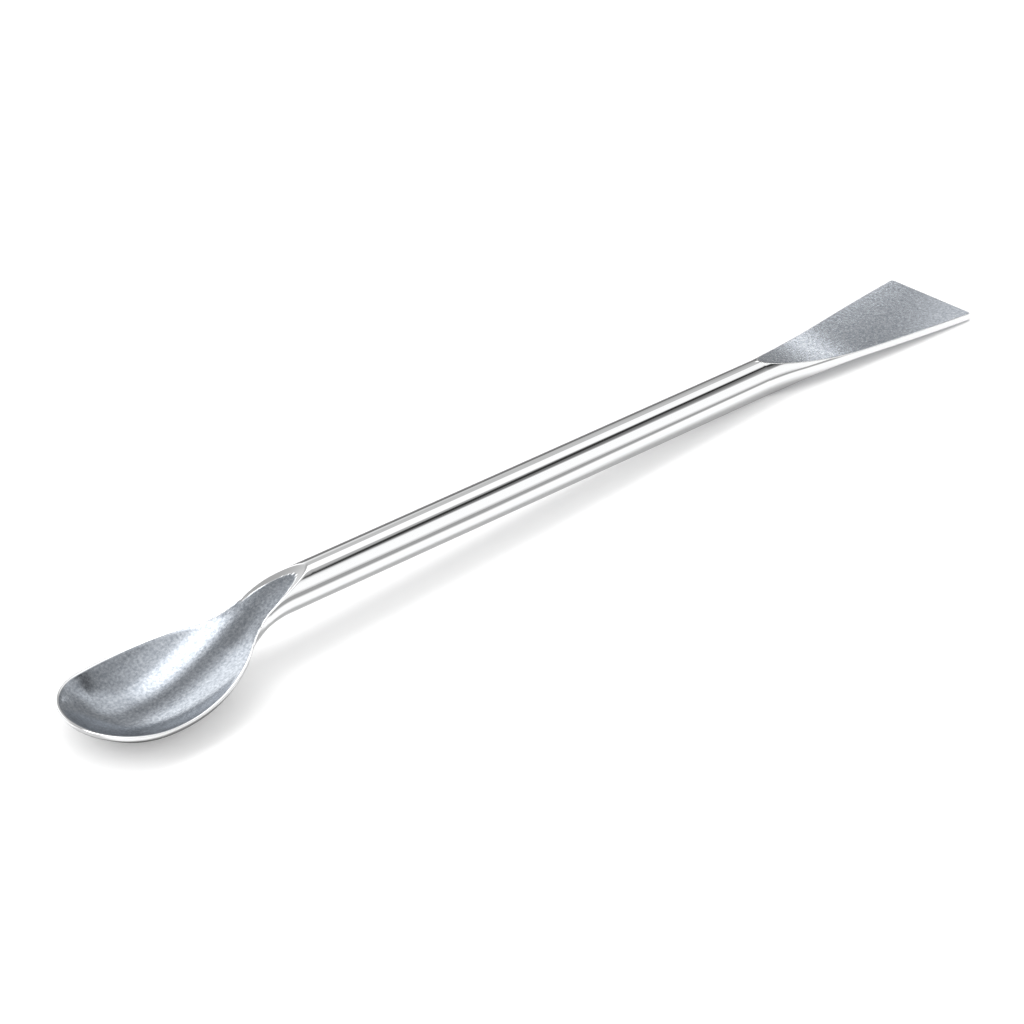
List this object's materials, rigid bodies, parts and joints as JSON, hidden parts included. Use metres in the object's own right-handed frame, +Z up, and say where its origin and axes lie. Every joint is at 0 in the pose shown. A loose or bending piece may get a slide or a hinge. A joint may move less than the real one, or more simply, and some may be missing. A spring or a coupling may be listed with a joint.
{
  "type": "lab spatula",
  "caption": "Double-ended steel lab spatula: a round rod with a shallow spoon bowl at one end and a flared flat blade at the other, for scooping and spreading powders.",
  "frame": {"origin": "middle of the footprint of the piece as it lies on a table, at the table's surface", "axes": "+X along the spatula towards the blade, +Z up, +Y across; the piece is mirror symmetric about the XZ plane"},
  "size_m": [0.18, 0.02, 0.0116],
  "materials": {
    "steel": "stainless steel, polished on the rod, the rims and the underside, and matte blasted in the bowl and on the blade's faces"
  },
  "bodies": {
    "root": {"spatula": "steel"}
  },
  "joints": []
}
